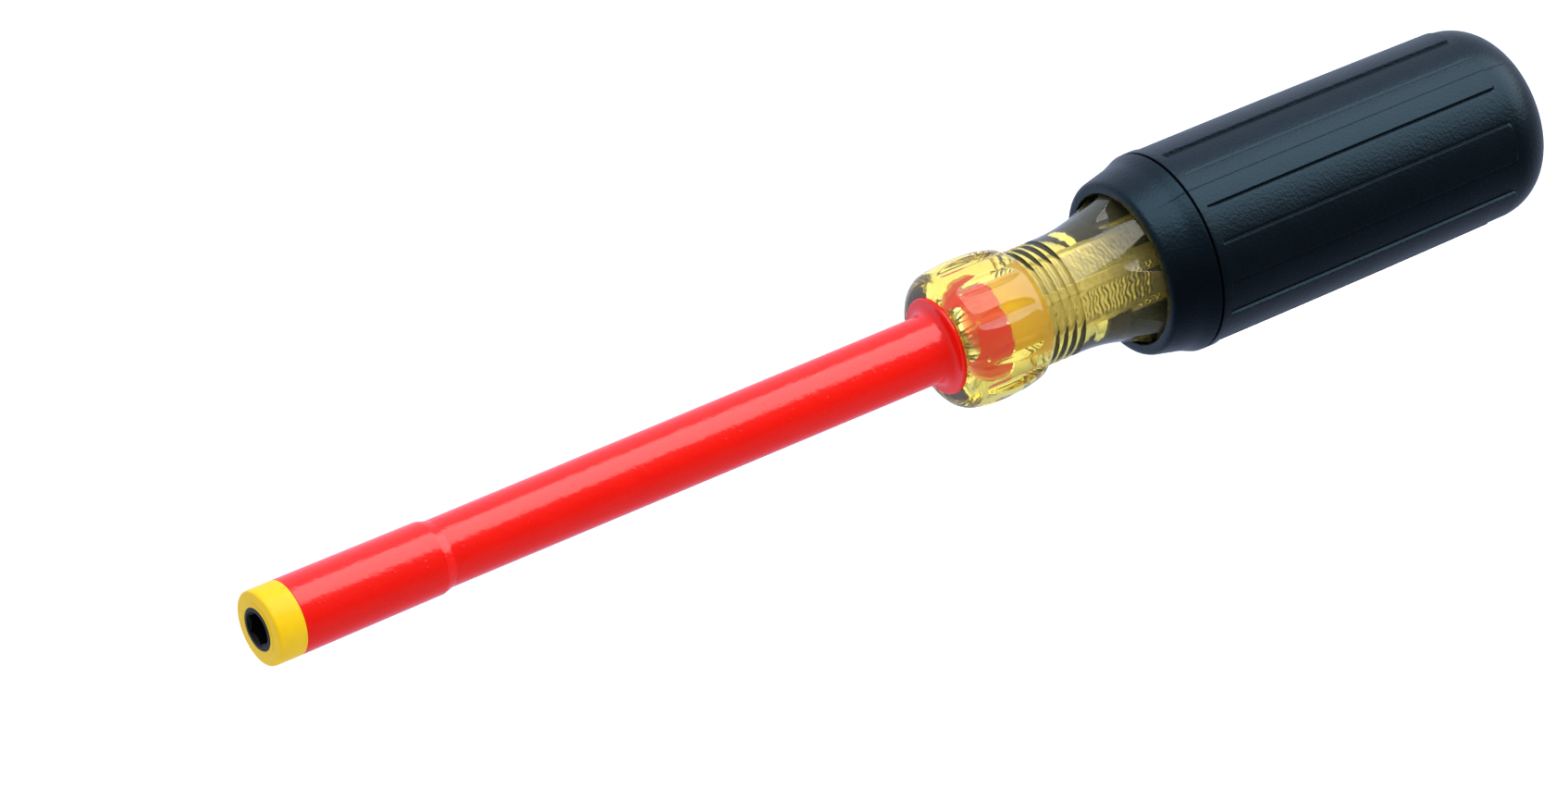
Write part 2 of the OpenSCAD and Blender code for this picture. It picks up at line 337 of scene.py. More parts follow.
def soft_step(value, width):
    """0 below -width, 1 above width, with a smooth rise between."""
    t = np.clip(value / width / 2 + 0.5, 0, 1)
    return t * t * (3 - 2 * t)


def wave(x, pitch, bend):
    """A wave along the bar, from -1 to 1, shifted by its bend in radians."""
    return np.sin(2 * np.pi * x / pitch + bend)


def even_turns(count):
    """Turns in degrees of so many even places round the axis."""
    return np.arange(count) * 360 / count


def off_nearest(turns, first, count):
    """Turn in degrees from the nearest of count even places, the first of them at first."""
    pitch = 360 / count
    return (turns - first + pitch / 2) % pitch - pitch / 2


def columns(line):
    """The x and the r of a line's points, each as a column."""
    return line[:, :1], line[:, 1:]


def polygon_radius(turns, sides, flats, corner_turn):
    """Distance from the axis to a regular polygon with this size across flats and a corner at a turn."""
    off_middle = off_nearest(turns, corner_turn + 180 / sides, sides)
    return flats / 2 / np.cos(np.radians(off_middle))


def flute_radius(turns, first, count, floor_r, flute_r):
    """Distance from the axis to the round flutes at each turn, and far out between them."""
    off = np.radians(off_nearest(turns, first, count))
    mid_r = floor_r + flute_r
    inside = flute_r ** 2 - (mid_r * np.sin(off)) ** 2
    near_side = mid_r * np.cos(off) - np.sqrt(np.maximum(inside, 0))
    return np.where(inside > 0, near_side, mid_r)


def skin(name, x, r, turns, loop=False):
    """A closed mesh of rings about the axis: point (i, j) is at x[i, j], r[i, j] and turned by turns[j].

    The first and last ring close on the axis, or join each other where the rings make a loop.
    """
    rings = max(len(x), len(r))
    shape = (rings, len(turns))
    x = np.broadcast_to(x, shape)
    r = np.broadcast_to(r, shape)
    angle = np.radians(turns)
    points = np.stack([x, -r * np.sin(angle), r * np.cos(angle)], axis=2).reshape(-1, 3)
    index = np.arange(len(points)).reshape(shape)
    if loop:
        index = np.concatenate([index, index[:1]])
    beside = np.roll(index, -1, axis=1)
    corners = [index[:-1], beside[:-1], beside[1:], index[1:]]
    faces = np.stack(corners, axis=2).reshape(-1, 4).tolist()
    if not loop:
        front, back = len(points), len(points) + 1
        points = np.concatenate([points, [[x[0].mean(), 0, 0], [x[-1].mean(), 0, 0]]])
        faces += [[front, b, a] for a, b in zip(index[0].tolist(), beside[0].tolist())]
        faces += [[back, a, b] for a, b in zip(index[-1].tolist(), beside[-1].tolist())]
    mesh = bpy.data.meshes.new(name)
    mesh.from_pydata((points * MM).tolist(), [], faces)
    face_out(mesh)
    piece = bpy.data.objects.new(name, mesh)
    bpy.context.scene.collection.objects.link(piece)
    return piece


def face_out(mesh):
    """Merges doubled points, turns every face outwards and smooths the shading, but for sharp edges."""
    work = bmesh.new()
    work.from_mesh(mesh)
    bmesh.ops.remove_doubles(work, verts=work.verts, dist=SAME_POINT)
    bmesh.ops.recalc_face_normals(work, faces=work.faces)
    work.to_mesh(mesh)
    work.free()
    mesh.shade_smooth()
    mesh.set_sharp_from_angle(angle=math.radians(SHARP_EDGE))


def tang_radius(turns):
    """Outline of the square tang with its coined corners."""
    half_side = 180 / TANG_SIDES
    flats = polygon_radius(turns, TANG_SIDES, TANG_FLATS, TANG_TURN)
    corners = polygon_radius(turns, TANG_SIDES, TANG_CORNERS, TANG_TURN + half_side)
    return softly_least(flats, corners, TANG_CORNER_ROUND)


def hammer_marks(x, turns):
    """Uneven cross ridges that the coining dies leave on the tang, in depth below its outline.

    The waves bend along the bar and across each side, and differ from side to side, so that no two
    stretches look alike. The factors inside them only keep them out of step.
    """
    off_corner = np.abs(off_nearest(turns, TANG_TURN, TANG_SIDES))
    on_flats = soft_step(off_corner - MARKS_TURN, MARKS_FADE)
    off_middle = off_nearest(turns, TANG_TURN + 180 / TANG_SIDES, TANG_SIDES)
    across = TANG_FLATS / 2 * np.tan(np.radians(off_middle))
    side = np.floor((turns - TANG_TURN) % 360 / (360 / TANG_SIDES))
    wander = np.sin(x / 0.9 + 2.1 * side + 0.4 * across) + np.sin(x / 1.9 - 0.6 * across + side)
    ridges = wave(x, RIDGE_PITCH, 1.9 * wander + 0.8 * np.sin(2.3 * across + 4 * side))
    chips = wave(x, CHIP_PITCH, 1.2 * np.sin(3.1 * across + side) + wander)
    broken = 0.5 + 0.5 * np.sin(4.7 * across + 2.2 * wander + 3 * side)
    sharp = 0.5 + 0.5 * (RIDGE_SHARE * ridges * broken + (1 - RIDGE_SHARE) * chips)
    dents = 0.5 + 0.5 * wave(x, DENT_PITCH, 1.6 * np.sin(1.4 * across + side) + 0.5 * wander)
    struck = np.where(side % 2 == 0, sharp, SOFT_SHARP * sharp + SOFT_DENTS * dents)
    return HAMMER_DEPTH * on_flats * struck


def steel_bar():
    """Blackened bar with its hexagon and stud bore, and a tang of bare, hammered steel."""
    turns = even_turns(BAR_COLUMNS)
    whole = np.ones_like(turns)
    hexagon = polygon_radius(turns, HEX_SIDES, HEX_FLATS, HEX_TURN)
    lead_r = HEX_FLATS / 2 / math.cos(math.pi / HEX_SIDES) + LEAD_IN
    rings = [
        (STUD_DEPTH, STUD_BORE_R * whole),
        (HEX_DEPTH, STUD_BORE_R * whole),
        (HEX_DEPTH, hexagon),
        (lead_r - hexagon, hexagon),
        (0, lead_r * whole),
        (0, (SOCKET_R - RIM_CHAMFER) * whole),
        (RIM_CHAMFER, SOCKET_R * whole),
        (SOCKET_LEN, SOCKET_R * whole),
        (TAPER_END, SHANK_R * whole),
        (TANG_START, SHANK_R * whole),
    ]
    outline = tang_radius(turns)
    shown = np.arange(TANG_START, TANG_START + TANG_SHOWN, TANG_STEP)
    hidden = np.linspace(TANG_START + TANG_SHOWN, TANG_END - TANG_CHAMFER, 12)
    for x in np.concatenate([shown, hidden]):
        rings.append((x, outline - hammer_marks(x, turns)))
    rings.append((TANG_END, outline - TANG_CHAMFER))
    x = np.array([ring[0] * whole for ring in rings])
    r = np.array([ring[1] for ring in rings])
    bar = skin("steel_bar", x, r, turns)
    bar.data.materials.append(black_oxide_steel())
    bar.data.materials.append(coined_bare_steel())
    for face in bar.data.polygons:
        beyond_insulation = face.center.x > INNER_HIGH[0] * MM
        face.material_index = int(beyond_insulation)
    return bar


def yellow_sleeve():
    """Inner insulation: a collar with a rounded edge and a bead round the steel, then a plain tube."""
    end_x = INNER_HIGH[0]
    bead_r = SOCKET_R + BEAD_W
    line = eased([
        (end_x, SHANK_R - BOND_SINK, 0),
        (TAPER_END, SHANK_R - BOND_SINK, 0),
        (SOCKET_LEN, SOCKET_R - BOND_SINK, 0),
        (BEAD_SLOPE, SOCKET_R - BOND_SINK, 0),
        (0, bead_r - BEAD_TOP_W, BEAD_TOP_EASE),
        (BEAD_TOP_FALL, bead_r, BEAD_EASE),
        (BEAD_H, bead_r + BEAD_FOOT, BEAD_EASE),
        (BEAD_H, NOSE_R, COLLAR_EDGE),
        (COLLAR_LEN - SEAM_BREAK, NOSE_R, SEAM_EASE),
        (COLLAR_LEN, NOSE_R - SEAM_BREAK, 0),
        (COLLAR_LEN, INNER_NOSE_R, 0),
        (NOSE_LEN, INNER_NOSE_R, 0),
        (SHOULDER_END, INNER_R, 0),
        (end_x - INNER_BREAK, INNER_R, INNER_EASE),
        (end_x, INNER_R - INNER_BREAK, 0),
    ])
    x, r = columns(line)
    sleeve = skin("yellow_sleeve", x, r, even_turns(SLEEVE_COLUMNS), loop=True)
    sleeve.data.materials.append(yellow_nylon())
    return sleeve


def red_sleeve():
    """Outer insulation: a thicker nose with a shoulder, a plain shaft and a flange at the handle."""
    front_x = OUTER_LOW[0]
    end_x = OUTER_HIGH[0]
    flange_x = FRONT_X - FLANGE_T
    line = eased([
        (end_x, INNER_R - BOND_SINK, 0),
        (SHOULDER_END, INNER_R - BOND_SINK, 0),
        (NOSE_LEN, INNER_NOSE_R - BOND_SINK, 0),
        (front_x, INNER_NOSE_R - BOND_SINK, 0),
        (front_x, NOSE_R - SEAM_BREAK, 0),
        (front_x + SEAM_BREAK, NOSE_R, SEAM_EASE),
        (NOSE_LEN, NOSE_END_R, NOSE_END_EASE),
        (SHOULDER_END, SHAFT_R, SHOULDER_EASE),
        (flange_x, SHAFT_R, FLANGE_FILLET),
        (flange_x, FLANGE_R, FLANGE_T / 2),
        (FRONT_X - FILM, FLANGE_R, FLANGE_BACK_EASE),
        (FRONT_X - FILM, SHAFT_R, 0),
        (end_x - OUTER_BREAK, SHAFT_R, OUTER_EASE),
        (end_x, SHAFT_R - OUTER_BREAK, 0),
    ])
    x, r = columns(line)
    sleeve = skin("red_sleeve", x, r, even_turns(SLEEVE_COLUMNS), loop=True)
    sleeve.data.materials.append(red_nylon())
    return sleeve


def touching_r(radius, x):
    """Radius of the middle of a round that touches the bolster's crown from inside at x."""
    crown_x = FRONT_X + BOLSTER_LEN / 2
    return BOLSTER_R - CROWN_R + math.sqrt((CROWN_R - radius) ** 2 - (x - crown_x) ** 2)


def direction(start, end):
    """Angle in degrees of the line from one (x, r) point to another."""
    return math.degrees(math.atan2(end[1] - start[1], end[0] - start[0]))


def handle_line():
    """Outline of the handle from the front face's outer part to its end, before flutes and rings."""
    crown_mid = (FRONT_X + BOLSTER_LEN / 2, BOLSTER_R - CROWN_R)
    front_x = FRONT_X + FRONT_ROUND
    front_mid = (front_x, touching_r(FRONT_ROUND, front_x))
    back_x = FRONT_X + BOLSTER_LEN - BACK_ROUND
    back_mid = (back_x, touching_r(BACK_ROUND, back_x))
    front_touch = direction(crown_mid, front_mid)
    back_touch = direction(crown_mid, back_mid)
    lean = math.radians(BACK_LEAN)
    foot_r = (back_mid[1] + BACK_ROUND * math.sin(lean) - NECK_R) / (1 - math.sin(lean))
    foot_x = back_x + (BACK_ROUND + foot_r) * math.cos(lean)
    flare_turn = math.degrees(math.acos((NECK_R + FLARE_R - BODY_R) / FLARE_R))
    end_mid = (BODY_END - BODY_END_ROUND, BODY_R - BODY_END_ROUND)
    shown = np.concatenate([
        arc(front_mid, FRONT_ROUND, 180, front_touch, steps=24),
        arc(crown_mid, CROWN_R, front_touch, back_touch, steps=60),
        arc(back_mid, BACK_ROUND, back_touch, BACK_LEAN, steps=14),
        arc((foot_x, NECK_R + foot_r), foot_r, 180 + BACK_LEAN, 270, steps=40),
        divided(np.array([(foot_x, NECK_R), (FLARE_X, NECK_R)]), NECK_STEP),
        arc((FLARE_X, NECK_R + FLARE_R), FLARE_R, 270, 270 + flare_turn, steps=60),
    ])
    hidden = np.concatenate([
        divided(np.array([shown[-1], (end_mid[0], BODY_R)]), BODY_STEP)[1:],
        arc(end_mid, BODY_END_ROUND, 90, 0, steps=12)[1:],
    ])
    return np.concatenate([shown, hidden])


def ring_groove_radius(x):
    """Distance from the axis to the neck's ring grooves at x, and far out elsewhere."""
    nearest = np.full_like(x, 2 * BODY_R)
    for i in range(RINGS):
        off = x - RING_X - i * RING_PITCH
        inside = (RING_W / 2) ** 2 - off ** 2
        nearest = np.where(inside > 0, NECK_R - np.sqrt(np.maximum(inside, 0)), nearest)
    return nearest


def bolster_fluted(r, turns):
    """The bolster's radius after its flutes are taken out."""
    first = RIDGE_TURN + 180 / BOLSTER_FLUTES
    floor_r = BOLSTER_R - BOLSTER_FLUTE_DEPTH
    flutes = flute_radius(turns, first, BOLSTER_FLUTES, floor_r, BOLSTER_FLUTE_R)
    return softly_least(r, flutes, EDGE_POLISH)


def body_fluted(r, turns):
    """The flare's and the body's radius after the flutes under the grip's hollows are taken out."""
    floor_r = BODY_R - BODY_FLUTE_DEPTH
    flutes = flute_radius(turns, HOLLOW_TURN, BODY_FLUTES, floor_r, BODY_FLUTE_R)
    return softly_least(r, flutes, EDGE_POLISH)


def handle_surface(turns):
    """The x and r of the handle's outside over all turns, with its flutes and ring grooves."""
    whole = np.ones_like(turns)
    x, r = columns(handle_line())
    r = softly_least(r, ring_groove_radius(x), EDGE_POLISH)
    fluted = np.where(x < FRONT_X + BOLSTER_LEN, bolster_fluted(r, turns), r * whole)
    fluted = np.where(x > FLARE_X, body_fluted(r, turns), fluted)
    return x * whole, fluted


def amber_handle():
    """Clear moulding: fluted bolster, ringed neck and a flare into the fluted body, cast round the shaft."""
    turns = even_turns(HANDLE_COLUMNS)
    whole = np.ones_like(turns)
    tang = tang_radius(turns) - HAMMER_DEPTH - BOND_SINK
    inner_end = INNER_HIGH[0] - BOND_SINK
    outer_end = OUTER_HIGH[0] - BOND_SINK
    film_end = FRONT_X + FILM_LEN
    bore = [
        (TANG_END - BOND_SINK, tang),
        (inner_end, tang),
        (inner_end, (INNER_R - BOND_SINK) * whole),
        (outer_end, (INNER_R - BOND_SINK) * whole),
        (outer_end, (SHAFT_R - BOND_SINK) * whole),
        (film_end, (SHAFT_R - BOND_SINK) * whole),
        (film_end - BOND_SINK, (SHAFT_R + FILM) * whole),
        (FRONT_X, (SHAFT_R + FILM) * whole),
    ]
    x, r = handle_surface(turns)
    x = np.concatenate([np.array([ring[0] * whole for ring in bore]), x])
    r = np.concatenate([np.array([ring[1] for ring in bore]), r])
    handle = skin("amber_handle", x, r, turns)
    handle.data.materials.append(clear_amber_acetate())
    return handle


def grip_turns():
    """Turns of the grip's points: even ones, and fine ones at the panels' edges and the parting lines."""
    edge = 180 / PANELS * PANEL_SHARE
    per_mm = math.degrees(1 / BAND_R)
    near_edge = np.linspace(-2, 2, 11) * PANEL_EDGE * per_mm
    near_parting = np.linspace(-1, 1, 7) * PARTING_W * per_mm
    fine = [even_turns(GRIP_COLUMNS)]
    for middle in PANEL_TURN + even_turns(PANELS):
        fine += [middle - edge + near_edge, middle + edge + near_edge]
    fine += [PARTING_TURN + near_parting, PARTING_TURN + 180 + near_parting]
    turns = np.sort(np.concatenate(fine) % 360)
    apart = np.diff(turns, append=turns[0] + 360) > LEAST_TURN
    return turns[apart]


def lip_line():
    """Outline of the lip: a straight slope that swells outwards."""
    start = np.array([LIP_X, MOUTH_R + LIP_FLAT])
    slope = np.array([LIP_X + LIP_LEN, LIP_R]) - start
    outwards = np.array([-slope[1], slope[0]]) / np.linalg.norm(slope)
    along = np.linspace(0, 1, 12)[:, None]
    return start + slope * along + outwards * LIP_SWELL * np.sin(np.pi * along)


def grip_line():
    """Outline of the grip's outside from the lip's edge, along its panel tops and round its butt.

    The rings lie closer together where the panels' edges bend.
    """
    lip = lip_line()
    floor_r = BAND_R - GROOVE_DEPTH
    groove_end = GROOVE_X + GROOVE_W
    collar = eased([
        (*lip[-1], 0),
        (GROOVE_X - RIM_RISE_LEN, CONE_END_R, CONE_EASE),
        (GROOVE_X, BAND_R, GROOVE_EDGE_EASE),
        (GROOVE_X + GROOVE_LEAN, floor_r, GROOVE_FLOOR_EASE),
        (groove_end - GROOVE_LEAN, floor_r, GROOVE_FLOOR_EASE),
        (groove_end, BAND_R, GROOVE_EDGE_EASE),
        (PANEL_X - 4 * PANEL_EDGE, BAND_R, 0),
    ])
    front_edge = np.arange(PANEL_X - 3 * PANEL_EDGE, PANEL_X + 3 * PANEL_EDGE, FRONT_EDGE_STEP)
    sides = np.arange(PANEL_X + 4 * PANEL_EDGE, PANEL_END - 2 * PANEL_CORNER, PANEL_STEP)
    end_edge = np.arange(PANEL_END - 1.8 * PANEL_CORNER, PANEL_END + 3 * PANEL_EDGE, END_EDGE_STEP)
    along = np.concatenate([front_edge, sides, end_edge])
    panels = np.stack([along, panel_top(along)], axis=1)
    butt_r = panel_top(BUTT_X) - PANEL_H
    butt = arc((BUTT_X, butt_r - BUTT_ROUND), BUTT_ROUND, 90, 0, steps=32)
    return np.concatenate([lip, collar[1:], panels, butt])


def panel_top(x):
    """Radius of the grip at the tops of its panels."""
    return BAND_R - GRIP_TAPER * np.clip((x - GROOVE_X) / (BUTT_X - GROOVE_X), 0, 1) ** 2


def panel_drop(x, turns):
    """How far the grip lies below its panel tops, between the panels, behind their ends and in creases."""
    across = BAND_R * np.radians(np.abs(off_nearest(turns, PANEL_TURN, PANELS)))
    past_side = across - BAND_R * np.radians(180 / PANELS * PANEL_SHARE)
    by_side = past_side + PANEL_CORNER
    by_end = x - PANEL_END + PANEL_CORNER
    round_corner = np.hypot(np.maximum(by_side, 0), np.maximum(by_end, 0))
    inside = PANEL_CORNER - round_corner - np.minimum(np.maximum(by_side, by_end), 0)
    raised = np.maximum(inside, PANEL_X - x)
    return PANEL_H * (1 - soft_step(raised, PANEL_EDGE)) + panel_crease(x, past_side)


def panel_crease(x, past_side):
    """Depth of the crease at the foot of a panel's long edges."""
    from_ends = np.minimum(x - PANEL_X, PANEL_END - x)
    depth = CREASE_DEPTH * np.clip(from_ends / CREASE_FADE, 0, 1)
    return depth * np.clip(1 - np.abs(past_side - PANEL_EDGE) / CREASE_W, 0, 1)


def parting_ridge(turns):
    """Fine ridge where the two halves of the grip's mould met."""
    off = BAND_R * np.radians(np.abs(off_nearest(turns, PARTING_TURN, 2)))
    return PARTING_H * (1 - np.clip(off / PARTING_W, 0, 1)) ** 2


def grip_outside(turns):
    """The x and r of the grip's outside over all turns, from the lip's edge to the butt's end."""
    whole = np.ones_like(turns)
    x, r = columns(grip_line())
    on_panels = (x > PANEL_X - 3.5 * PANEL_EDGE) & (x < BUTT_X)
    r = np.where(on_panels, r - panel_drop(x, turns), r * whole)
    on_parting = (x > LIP_X + PARTING_CLEAR) & (x < GRIP_END - PARTING_CLEAR)
    return x * whole, np.where(on_parting, r + parting_ridge(turns), r)


def grip_inside(turns):
    """The x and r of the grip's inside over all turns, from the handle's end to the mouth."""
    whole = np.ones_like(turns)
    line = handle_line()
    pocket_x = LIP_X + MOUTH_DEPTH
    held = line[line[:, 0] > pocket_x][::-1]
    pocket = np.linspace(pocket_x, LIP_X + MOUTH_FLARE_START, 30)[:, None]
    pocket_r = body_fluted(np.interp(pocket, line[:, 0], line[:, 1]), turns) - BOND_SINK
    x = np.concatenate([held[:, :1], pocket[:1], pocket, [[LIP_X + MOUTH_FLARE_END]]])
    r = np.concatenate([
        body_fluted(held[:, 1:], turns) - BOND_SINK,
        pocket_r[:1],
        np.maximum(pocket_r, MOUTH_R),
        [(MOUTH_R + MOUTH_FLARE) * whole],
    ])
    return x * whole, r


def black_grip():
    """Soft grip: rounded mouth, conical collar, ring groove, eight raised panels and a domed butt."""
    turns = grip_turns()
    inside_x, inside_r = grip_inside(turns)
    outside_x, outside_r = grip_outside(turns)
    x = np.concatenate([inside_x, outside_x])
    r = np.concatenate([inside_r, outside_r])
    grip = skin("black_grip", x, np.maximum(r, LEAST_R), turns)
    grip.data.materials.append(black_vinyl())
    return grip


def linear(hex_colour):
    """An sRGB hex colour as linear RGBA."""
    parts = [int(hex_colour[i:i + 2], 16) / 255 for i in (1, 3, 5)]
    return [c / 12.92 if c <= 0.04045 else ((c + 0.055) / 1.055) ** 2.4 for c in parts] + [1]


def per_metre(size):
    """Scale of a pattern whose features are this many millimetres across."""
    return 1 / (size * MM)


def add(tree, kind, inputs, **settings):
    """Adds a shader node, with its settings, and its sockets set to values or linked to outputs."""
    made = tree.nodes.new("ShaderNode" + kind)
    for name, value in settings.items():
        setattr(made, name, value)
    for socket, value in inputs.items():
        if isinstance(value, bpy.types.NodeSocket):
            tree.links.new(value, made.inputs[socket])
        else:
            made.inputs[socket].default_value = value
    return made


# Sockets of a colour mix: its share, the colours at 0 and at 1, and the mixed colour
SHARE, AT_0, AT_1 = 0, 6, 7
MIXED = 2


def new_finish(name):
    """A new material, its empty tree and the tool's own coordinates in it."""
    finish = bpy.data.materials.new(name)
    finish.use_nodes = True
    tree = finish.node_tree
    tree.nodes.clear()
    place = add(tree, "TexCoord", {}).outputs["Object"]
    return finish, tree, place


def black_oxide_steel():
    """Steel from a black oxide bath: dark satin, with faint cloudy patches and paler rubbed spots."""
    finish, tree, place = new_finish("black_oxide_steel")
    clouds = add(tree, "TexNoise", {"Vector": place, "Scale": per_metre(1.6), "Detail": 4})
    rubbed = add(tree, "Mix", {
        SHARE: clouds.outputs["Fac"], AT_0: linear("#101010"), AT_1: linear("#242423")}, data_type="RGBA")
    # The grit is drawn coarser than it is, so that it shows
    grit = add(tree, "TexNoise", {"Vector": place, "Scale": per_metre(0.25), "Detail": 3})
    rough = add(tree, "MapRange", {"Value": clouds.outputs["Fac"], "To Min": 0.32, "To Max": 0.5})
    relief = add(tree, "Bump", {"Height": grit.outputs["Fac"], "Distance": 0.02 * MM, "Strength": 0.5})
    shader = add(tree, "BsdfPrincipled", {
        "Base Color": rubbed.outputs[MIXED], "Roughness": rough.outputs["Result"], "Metallic": 0.75,
        "Normal": relief.outputs["Normal"]})
    add(tree, "OutputMaterial", {"Surface": shader.outputs["BSDF"]})
    return finish


def coined_bare_steel():
    """Bare steel squeezed between dies: bright and uneven, with fine scale that scatters the light."""
    finish, tree, place = new_finish("coined_bare_steel")
    scale = add(tree, "TexNoise", {
        "Vector": place, "Scale": per_metre(0.7), "Detail": 5, "Roughness": 0.65})
    tone = add(tree, "Mix", {
        SHARE: scale.outputs["Fac"], AT_0: linear("#B4A57A"), AT_1: linear("#FFF8E6")}, data_type="RGBA")
    # The grit is drawn coarser than it is, so that it shows
    grit = add(tree, "TexNoise", {"Vector": place, "Scale": per_metre(0.3), "Detail": 4})
    relief = add(tree, "Bump", {"Height": grit.outputs["Fac"], "Distance": 0.03 * MM, "Strength": 0.4})
    shader = add(tree, "BsdfPrincipled", {
        "Base Color": tone.outputs[MIXED], "Roughness": 0.42, "Metallic": 0.7,
        "Normal": relief.outputs["Normal"]})
    add(tree, "OutputMaterial", {"Surface": shader.outputs["BSDF"]})
    return finish


def yellow_nylon():
    """Moulded yellow nylon: semi-matt, with slight flow clouds and a fine spark-eroded mould grain."""
    finish, tree, place = new_finish("yellow_moulded_nylon")
    flow = add(tree, "TexNoise", {"Vector": place, "Scale": per_metre(3), "Detail": 3})
    tone = add(tree, "Mix", {
        SHARE: flow.outputs["Fac"], AT_0: linear("#F4BE00"), AT_1: linear("#FCD20C")}, data_type="RGBA")
    # The grain is drawn coarser than it is, so that it shows
    grain = add(tree, "TexNoise", {"Vector": place, "Scale": per_metre(0.35), "Detail": 3})
    relief = add(tree, "Bump", {"Height": grain.outputs["Fac"], "Distance": 0.03 * MM, "Strength": 0.6})
    shader = add(tree, "BsdfPrincipled", {
        "Base Color": tone.outputs[MIXED], "Roughness": 0.42, "IOR": 1.53, "Specular IOR Level": 0.25,
        "Subsurface Weight": 0.15, "Subsurface Radius": (1.0, 0.6, 0.1), "Subsurface Scale": 0.6 * MM,
        "Normal": relief.outputs["Normal"]})
    add(tree, "OutputMaterial", {"Surface": shader.outputs["BSDF"]})
    return finish


def red_nylon():
    """Moulded red nylon: semi-gloss with a faint orange peel and tiny scattered pits."""
    finish, tree, place = new_finish("red_moulded_nylon")
    flow = add(tree, "TexNoise", {"Vector": place, "Scale": per_metre(6), "Detail": 3})
    tone = add(tree, "Mix", {
        SHARE: flow.outputs["Fac"], AT_0: linear("#EC0C00"), AT_1: linear("#F41400")}, data_type="RGBA")
    peel = add(tree, "TexNoise", {"Vector": place, "Scale": per_metre(0.9), "Detail": 2})
    cells = add(tree, "TexVoronoi", {"Vector": place, "Scale": per_metre(1.3)})
    # A pit takes up the middle of each cell
    pits = add(tree, "MapRange", {"Value": cells.outputs["Distance"], "From Max": 0.12})
    height = add(tree, "Math", {0: peel.outputs["Fac"], 1: pits.outputs["Result"]}, operation="ADD")
    relief = add(tree, "Bump", {"Height": height.outputs["Value"], "Distance": 0.09 * MM, "Strength": 0.6})
    shader = add(tree, "BsdfPrincipled", {
        "Base Color": tone.outputs[MIXED], "Roughness": 0.18, "IOR": 1.53,
        "Normal": relief.outputs["Normal"]})
    add(tree, "OutputMaterial", {"Surface": shader.outputs["BSDF"]})
    return finish


def clear_amber_acetate():
    """Clear cellulose acetate, moulded and polished, with an amber dye and a trace of milkiness.

    Its faint waves bend what shows through it, and its colour is deeper where it is thick.
    """
    finish, tree, place = new_finish("clear_amber_acetate")
    waves = add(tree, "TexNoise", {"Vector": place, "Scale": per_metre(2.5), "Detail": 2})
    relief = add(tree, "Bump", {"Height": waves.outputs["Fac"], "Distance": 0.12 * MM, "Strength": 0.5})
    scuffs = add(tree, "TexNoise", {"Vector": place, "Scale": per_metre(1.2), "Detail": 4})
    rough = add(tree, "MapRange", {
        "Value": scuffs.outputs["Fac"], "From Min": 0.35, "From Max": 0.8, "To Min": 0.02, "To Max": 0.10})
    shader = add(tree, "BsdfPrincipled", {
        "Base Color": linear("#FCF2AE"), "Roughness": rough.outputs["Result"], "IOR": 1.48,
        "Transmission Weight": 0.955, "Normal": relief.outputs["Normal"]})
    dye = add(tree, "VolumeAbsorption", {"Color": linear("#FFF43C"), "Density": 54})
    add(tree, "OutputMaterial", {"Surface": shader.outputs["BSDF"], "Volume": dye.outputs["Volume"]})
    return finish


def black_vinyl():
    """Soft moulded vinyl: matt black with a blue-grey bloom where it catches light, and a leathery grain."""
    finish, tree, place = new_finish("black_moulded_vinyl")
    bloom = add(tree, "TexNoise", {"Vector": place, "Scale": per_metre(5), "Detail": 4})
    tone = add(tree, "Mix", {
        SHARE: bloom.outputs["Fac"], AT_0: linear("#020406"), AT_1: linear("#05080C")}, data_type="RGBA")
    cells = add(tree, "TexVoronoi", {"Vector": place, "Scale": per_metre(0.55)})
    grain = add(tree, "TexNoise", {"Vector": place, "Scale": per_metre(0.4), "Detail": 4})
    height = add(tree, "Math", {0: cells.outputs["Distance"], 1: grain.outputs["Fac"]}, operation="ADD")
    relief = add(tree, "Bump", {"Height": height.outputs["Value"], "Distance": 0.06 * MM, "Strength": 0.5})
    rough = add(tree, "MapRange", {"Value": bloom.outputs["Fac"], "To Min": 0.31, "To Max": 0.41})
    shader = add(tree, "BsdfPrincipled", {
        "Base Color": tone.outputs[MIXED], "Roughness": rough.outputs["Result"], "IOR": 1.53,
        "Specular IOR Level": 0.4, "Specular Tint": linear("#A2D4F0"), "Normal": relief.outputs["Normal"]})
    add(tree, "OutputMaterial", {"Surface": shader.outputs["BSDF"]})
    return finish


def white_board():
    """Painted white board for the floor: matt, with the faint nap of a roller."""
    finish, tree, place = new_finish("white_painted_board")
    nap = add(tree, "TexNoise", {"Vector": place, "Scale": per_metre(1.5), "Detail": 3})
    tone = add(tree, "Mix", {
        SHARE: nap.outputs["Fac"], AT_0: linear("#F6F6F6"), AT_1: linear("#FAFAFA")}, data_type="RGBA")
    shader = add(tree, "BsdfPrincipled", {
        "Base Color": tone.outputs[MIXED], "Roughness": 0.9, "Specular IOR Level": 0.2})
    add(tree, "OutputMaterial", {"Surface": shader.outputs["BSDF"]})
    return finish


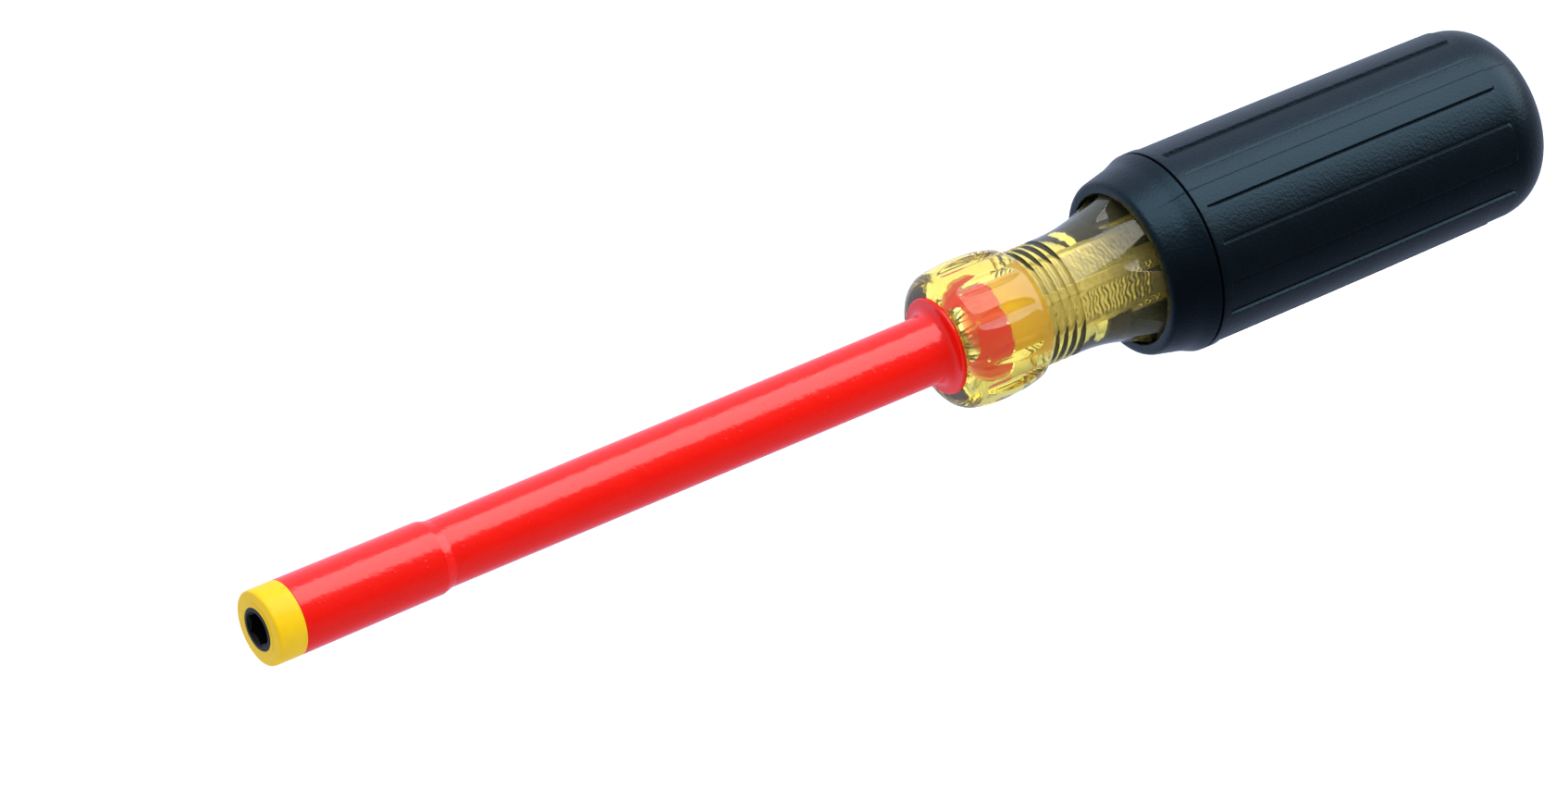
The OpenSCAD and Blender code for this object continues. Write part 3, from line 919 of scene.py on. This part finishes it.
def lay_floor():
    """White floor well below the tool, parallel to the line it would lie on, that gloss doesn't mirror.

    The tool would lie on its nose and on the rim of the grip's collar.
    """
    nose_x = BEAD_H + COLLAR_EDGE
    fall = (BAND_R - NOSE_R) / (GROOVE_X - nose_x)
    corners = []
    for x, y in ((-1, -1), (1, -1), (1, 1), (-1, 1)):
        level = -NOSE_R - FLOOR_DROP - fall * (x * FLOOR_HALF - nose_x)
        corners.append((x * FLOOR_HALF * MM, y * FLOOR_HALF * MM, level * MM))
    mesh = bpy.data.meshes.new("floor")
    mesh.from_pydata(corners, [], [(0, 1, 2, 3)])
    mesh.materials.append(white_board())
    floor = bpy.data.objects.new("floor", mesh)
    floor.visible_glossy = False
    bpy.context.scene.collection.objects.link(floor)


def hang_light(name, place, size, watts, mirrored):
    """A soft box of light at a place, turned to the middle of the tool, that gloss mirrors or not."""
    target = Vector((GRIP_END / 2, 0, 0)) * MM
    lamp = bpy.data.lights.new(name, "AREA")
    lamp.shape = "RECTANGLE"
    lamp.size = size[0] * MM
    lamp.size_y = size[1] * MM
    lamp.energy = watts
    box = bpy.data.objects.new(name, lamp)
    box.location = Vector(place) * MM
    box.rotation_euler = (target - box.location).to_track_quat("-Z", "Y").to_euler()
    box.visible_glossy = mirrored
    bpy.context.scene.collection.objects.link(box)


def light_studio():
    """A soft box above the tool, a broad fill from the front, and a pale room that is dim in front."""
    hang_light("soft_box", SOFT_BOX_PLACE, SOFT_BOX_SIZE, SOFT_BOX_WATTS, mirrored=True)
    hang_light("front_fill", FILL_PLACE, FILL_SIZE, FILL_WATTS, mirrored=False)
    world = bpy.data.worlds.new("pale_room")
    world.use_nodes = True
    tree = world.node_tree
    tree.nodes.clear()
    towards = add(tree, "SeparateXYZ", {"Vector": add(tree, "TexCoord", {}).outputs["Generated"]})
    glow = add(tree, "MapRange", {
        "Value": towards.outputs["Y"], "From Min": -1, "To Min": ROOM_FRONT, "To Max": ROOM_BACK})
    height = add(tree, "MapRange", {"Value": towards.outputs["Z"], "From Min": -1})
    tint = add(tree, "Mix", {
        SHARE: height.outputs["Result"], AT_0: linear("#C4D4F6"), AT_1: linear("#DEEAFF")}, data_type="RGBA")
    room = add(tree, "Background", {"Color": tint.outputs[MIXED], "Strength": glow.outputs["Result"]})
    add(tree, "OutputWorld", {"Surface": room.outputs["Background"]})
    bpy.context.scene.world = world
    bpy.context.scene.view_settings.view_transform = "Standard"


# What makes each piece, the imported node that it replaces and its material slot
PIECES = (
    (steel_bar, "steel_shaft", "blackened_steel"),
    (yellow_sleeve, "inner_insulation", "yellow_insulation"),
    (red_sleeve, "outer_insulation", "red_insulation"),
    (amber_handle, "handle", "amber_acetate"),
    (black_grip, "cushion_grip", "black_vinyl"),
)
for make, node, finish_slot in PIECES:
    piece = make()
    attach(piece, "root")
    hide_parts(node)

lay_floor()
light_studio()
